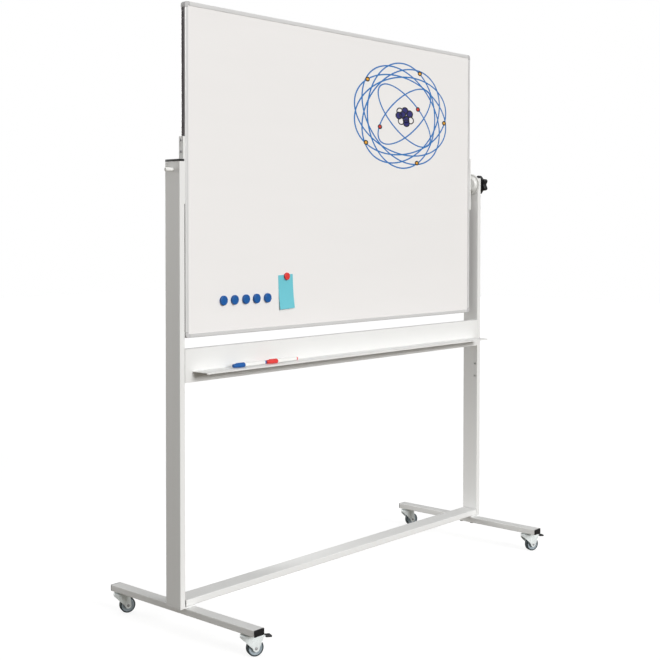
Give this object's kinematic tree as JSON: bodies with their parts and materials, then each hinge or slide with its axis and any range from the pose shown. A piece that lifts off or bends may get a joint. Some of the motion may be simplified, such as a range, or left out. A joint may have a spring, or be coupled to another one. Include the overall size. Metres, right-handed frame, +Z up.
{
  "type": "rolling whiteboard",
  "caption": "Double-sided whiteboard that tilts right round between two uprights on a wheeled stand, with a clamp knob, a pen tray, and swivel casters with brakes at the front.",
  "frame": {"origin": "on the floor under the middle of the board, on the tilt axis's plane", "axes": "+Z up, +X along the board and the tilt axis towards the clamp knob, -Y out of the front, where the pen tray is"},
  "size_m": [1.6653, 0.634, 1.891],
  "materials": {
    "powder_coat": "satin",
    "frame_metal": "satin",
    "corner_plastic": "satin",
    "enamel_sheet": "gloss",
    "board_core": "matte",
    "white_plastic": "satin",
    "black_plastic": "satin",
    "zinc_steel": "satin",
    "dark_steel": "satin",
    "wheel_plastic": "satin",
    "tyre_rubber": "matte"
  },
  "bodies": {
    "stand": {"foot_left": "powder_coat", "foot_right": "powder_coat", "foot_cap_left_front": "black_plastic", "foot_cap_left_rear": "black_plastic", "foot_cap_right_front": "black_plastic", "foot_cap_right_rear": "black_plastic", "base_plate_left": "powder_coat", "base_plate_right": "powder_coat", "foot_bolt_left_front": "dark_steel", "foot_bolt_left_rear": "dark_steel", "foot_bolt_right_front": "dark_steel", "foot_bolt_right_rear": "dark_steel", "upright_left": "powder_coat", "upright_right": "powder_coat", "upright_cap_left": "black_plastic", "upright_cap_right": "black_plastic", "crossbar": "powder_coat", "tray_panel": "powder_coat", "tray_shelf": "powder_coat", "caster_stem_left_front": "zinc_steel", "caster_stem_left_rear": "zinc_steel", "caster_stem_right_front": "zinc_steel", "caster_stem_right_rear": "zinc_steel"},
    "board": {"frame_top": "frame_metal", "frame_right": "frame_metal", "frame_bottom": "frame_metal", "frame_left": "frame_metal", "frame_corner_top_left": "corner_plastic", "frame_corner_top_right": "corner_plastic", "frame_corner_bottom_left": "corner_plastic", "frame_corner_bottom_right": "corner_plastic", "writing_sheet_front": "enamel_sheet", "writing_sheet_rear": "enamel_sheet", "board_core": "board_core", "pivot_bar_left": "powder_coat", "pivot_bar_right": "powder_coat", "pivot_pin": "white_plastic", "friction_disc": "white_plastic", "clamp_bolt": "zinc_steel"},
    "knob": {"clamp_knob": "black_plastic"},
    "caster_left_front": {"caster_fork_left_front": "zinc_steel", "wheel_axle_left_front": "zinc_steel"},
    "wheel_left_front": {"wheel_core_left_front": "wheel_plastic", "tyre_left_front": "tyre_rubber"},
    "brake_left": {"brake_lever_left_front": "zinc_steel", "brake_pad_left_front": "black_plastic"},
    "caster_left_rear": {"caster_fork_left_rear": "zinc_steel", "wheel_axle_left_rear": "zinc_steel"},
    "wheel_left_rear": {"wheel_core_left_rear": "wheel_plastic", "tyre_left_rear": "tyre_rubber"},
    "caster_right_front": {"caster_fork_right_front": "zinc_steel", "wheel_axle_right_front": "zinc_steel"},
    "wheel_right_front": {"wheel_core_right_front": "wheel_plastic", "tyre_right_front": "tyre_rubber"},
    "brake_right": {"brake_lever_right_front": "zinc_steel", "brake_pad_right_front": "black_plastic"},
    "caster_right_rear": {"caster_fork_right_rear": "zinc_steel", "wheel_axle_right_rear": "zinc_steel"},
    "wheel_right_rear": {"wheel_core_right_rear": "wheel_plastic", "tyre_right_rear": "tyre_rubber"}
  },
  "joints": [
    {"name": "board_tilt", "type": "hinge", "parent": "stand", "child": "board", "pos_m": [0, 0, 1.391], "axis": [1, 0, 0], "continuous": true},
    {"name": "clamp_knob_turn", "type": "hinge", "parent": "board", "child": "knob", "pos_m": [0.7938, 0, 1.391], "axis": [1, 0, 0], "range_deg": [0, 360]},
    {"name": "swivel_left_front", "type": "hinge", "parent": "stand", "child": "caster_left_front", "pos_m": [-0.7535, -0.267, 0.066], "axis": [0, 0, 1], "continuous": true},
    {"name": "wheel_spin_left_front", "type": "hinge", "parent": "caster_left_front", "child": "wheel_left_front", "pos_m": [-0.73157, -0.27676, 0.025], "axis": [0.4067, 0.9135, 0], "continuous": true},
    {"name": "brake_pedal_left", "type": "hinge", "parent": "caster_left_front", "child": "brake_left", "pos_m": [-0.73066, -0.27717, 0.056], "axis": [0.4067, 0.9135, 0], "range_deg": [0, 10]},
    {"name": "swivel_left_rear", "type": "hinge", "parent": "stand", "child": "caster_left_rear", "pos_m": [-0.7535, 0.296, 0.066], "axis": [0, 0, 1], "continuous": true},
    {"name": "wheel_spin_left_rear", "type": "hinge", "parent": "caster_left_rear", "child": "wheel_left_rear", "pos_m": [-0.73157, 0.28624, 0.025], "axis": [0.4067, 0.9135, 0], "continuous": true},
    {"name": "swivel_right_front", "type": "hinge", "parent": "stand", "child": "caster_right_front", "pos_m": [0.7535, -0.267, 0.066], "axis": [0, 0, 1], "continuous": true},
    {"name": "wheel_spin_right_front", "type": "hinge", "parent": "caster_right_front", "child": "wheel_right_front", "pos_m": [0.77543, -0.27676, 0.025], "axis": [0.4067, 0.9135, 0], "continuous": true},
    {"name": "brake_pedal_right", "type": "hinge", "parent": "caster_right_front", "child": "brake_right", "pos_m": [0.77634, -0.27717, 0.056], "axis": [0.4067, 0.9135, 0], "range_deg": [0, 10]},
    {"name": "swivel_right_rear", "type": "hinge", "parent": "stand", "child": "caster_right_rear", "pos_m": [0.7535, 0.296, 0.066], "axis": [0, 0, 1], "continuous": true},
    {"name": "wheel_spin_right_rear", "type": "hinge", "parent": "caster_right_rear", "child": "wheel_right_rear", "pos_m": [0.77543, 0.28624, 0.025], "axis": [0.4067, 0.9135, 0], "continuous": true}
  ]
}
